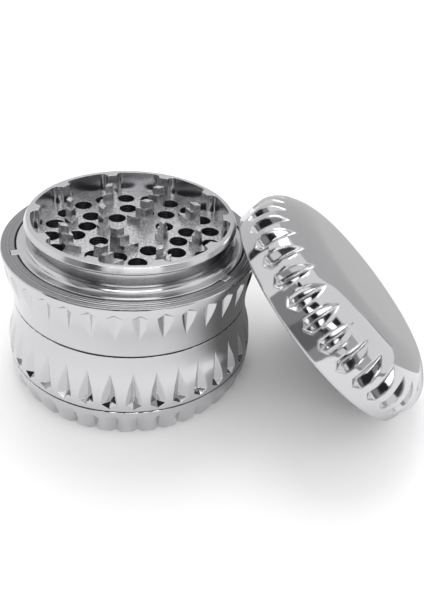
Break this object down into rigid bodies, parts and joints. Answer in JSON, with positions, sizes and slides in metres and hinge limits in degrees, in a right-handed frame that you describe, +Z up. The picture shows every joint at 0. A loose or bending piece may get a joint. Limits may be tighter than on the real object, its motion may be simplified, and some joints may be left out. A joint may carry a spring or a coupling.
{
  "type": "herb grinder",
  "caption": "Hand-turned metal herb grinder of stacked fluted sections: domed lid leaning beside a drum with toothed cup, catch chamber, mesh screen and powder tray.",
  "frame": {"origin": "centre of the tray's flat underside, on the drum's axis at the ground", "axes": "+Z up the drum's axis, -Y towards the viewer of the picture, +X towards the side where the lid leans"},
  "size_m": [0.1074, 0.0733, 0.0486],
  "materials": {
    "polished_nickel": "polished bright nickel plate on die-cast zinc alloy",
    "satin_nickel": "turned and lightly polished nickel plate on die-cast zinc alloy",
    "woven_steel": "plain stainless wire mesh",
    "spring_steel": "bright spring steel",
    "plated_magnet": "nickel-plated magnet"
  },
  "bodies": {
    "tray": {"pollen_tray": "polished_nickel"},
    "screen": {"mesh_screen": "woven_steel"},
    "chamber": {"catch_chamber": "polished_nickel", "screen_ring": "spring_steel"},
    "plate_magnet": {"plate_magnet": "plated_magnet"},
    "grinder": {"upper_shell": "polished_nickel", "neck_ring": "satin_nickel", "grinding_floor": "satin_nickel", "floor_teeth": "satin_nickel"},
    "lid_magnet": {"lid_magnet": "plated_magnet"},
    "lid": {"lid": "polished_nickel", "lid_teeth": "satin_nickel"}
  },
  "joints": [
    {"name": "screen_rise", "type": "slide", "parent": "tray", "child": "screen", "axis": [0, 0, 1], "range_m": [0, 0.00502]},
    {"name": "chamber_unscrew", "type": "hinge", "parent": "screen", "child": "chamber", "pos_m": [0, 0, 0.0085], "axis": [0, 0, 1], "range_deg": [0, 720]},
    {"name": "plate_rise", "type": "slide", "parent": "chamber", "child": "plate_magnet", "axis": [0, 0, 1], "range_m": [0, 0.00502]},
    {"name": "shell_unscrew", "type": "hinge", "parent": "plate_magnet", "child": "grinder", "pos_m": [0, 0, 0.0231], "axis": [0, 0, 1], "range_deg": [0, 720]},
    {"name": "lid_take_off", "type": "slide", "parent": "grinder", "child": "lid_magnet", "axis": [0.6789, -0.0494, 0.7325], "range_m": [0, 0.06]},
    {"name": "lid_turn", "type": "hinge", "parent": "lid_magnet", "child": "lid", "pos_m": [0.04743, -0.01003, 0.02129], "axis": [0.6789, -0.0494, 0.7325], "continuous": true}
  ],
  "couplings": [
    {"joint": "screen_rise", "follows": "chamber_unscrew", "m_per_rad": 0.00039789},
    {"joint": "plate_rise", "follows": "shell_unscrew", "m_per_rad": 0.00039789}
  ]
}
